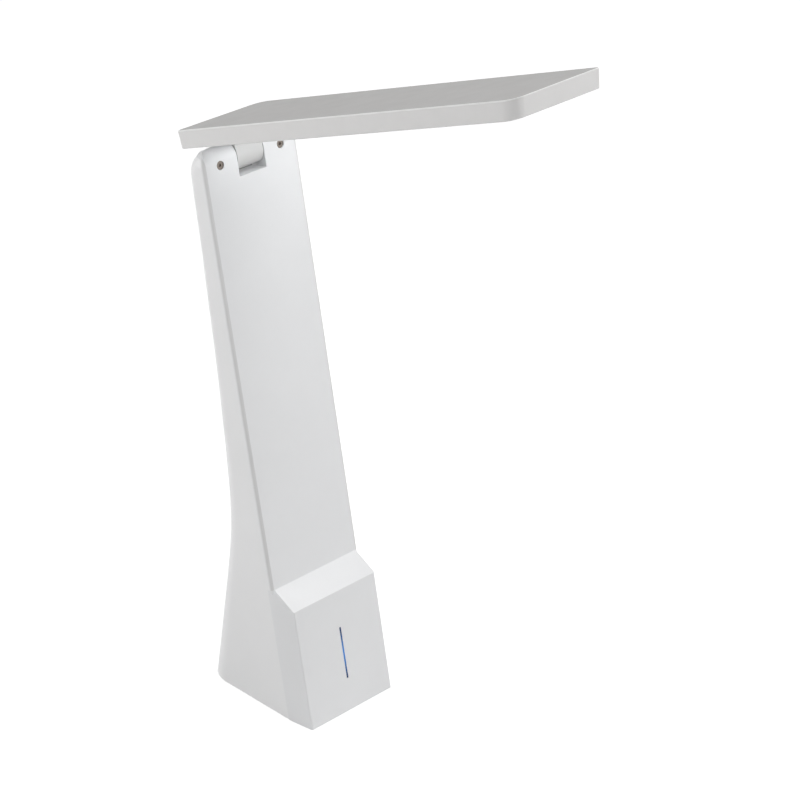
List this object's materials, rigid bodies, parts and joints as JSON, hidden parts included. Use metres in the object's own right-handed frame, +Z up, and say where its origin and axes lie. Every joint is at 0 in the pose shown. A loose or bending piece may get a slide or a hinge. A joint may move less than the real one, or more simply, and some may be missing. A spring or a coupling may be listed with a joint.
{
  "type": "folding led desk lamp",
  "caption": "Cordless desk lamp: a slim leaning stand with a control box at its foot and a flat light head that folds on a friction hinge at the top.",
  "frame": {"origin": "on the desk, at the middle of the stand's footprint, in the plane of symmetry of the outside", "axes": "+X across the lamp to the right seen from the front, -Y towards the front where the head reaches, +Z up"},
  "size_m": [0.0542, 0.1983, 0.3426],
  "materials": {
    "cover": "smooth satin white",
    "shell": "smooth satin light grey-white",
    "head_shell": "fine matte light grey-white",
    "knuckle_plastic": "smooth satin",
    "foot_rubber": "matte",
    "steel": "plain",
    "cast_steel": "rough",
    "cell_wrap": "smooth wrap",
    "black_plastic": "matte",
    "red_wire": "smooth",
    "white_wire": "smooth",
    "circuit_board": "lacquered",
    "touch_foam": "soft",
    "blue_light_guide": "clear, tinted by its lamps",
    "blue_lamp": "clear",
    "socket_metal": "bright plated",
    "bracket_steel": "pressed",
    "shaft_steel": "turned",
    "dark_screw": "dark plated",
    "diffuser_sheet": "milky, satin",
    "lamp_board": "white lacquer",
    "lamp_chip": "yellow phosphor"
  },
  "bodies": {
    "stand": {"front_cover": "cover", "rear_shell": "shell", "base_plate": "shell", "foot_pad": "foot_rubber", "base_screws": "steel", "ballast_weight": "cast_steel", "ballast_screws": "steel", "battery_cell": "cell_wrap", "battery_holder": "black_plastic", "battery_wires": "red_wire", "main_board": "circuit_board", "main_board_parts": "black_plastic", "main_board_screws": "steel", "touch_pad": "touch_foam", "indicator_light_guide": "blue_light_guide", "indicator_lamps": "blue_lamp", "charging_board": "circuit_board", "charging_board_screws": "steel", "charging_socket": "socket_metal", "socket_tongue": "black_plastic", "left_hinge_bracket": "bracket_steel", "right_hinge_bracket": "bracket_steel", "hinge_screws": "dark_screw", "friction_shaft": "shaft_steel", "friction_washers": "shaft_steel", "friction_nut": "steel", "hollow_shaft": "shaft_steel", "shaft_clips": "dark_screw", "column_wires": "white_wire"},
    "head": {"head_cover": "head_shell", "head_rear_plate": "shell", "diffuser": "diffuser_sheet", "lamp_board": "lamp_board", "lamp_chips": "lamp_chip", "knuckle": "knuckle_plastic", "knuckle_screws": "steel", "head_wires": "white_wire"}
  },
  "joints": [
    {"name": "head_fold", "type": "hinge", "parent": "stand", "child": "head", "pos_m": [0, 0.03067, 0.26015], "axis": [1, 0, 0], "range_deg": [-81, 98.5]}
  ]
}
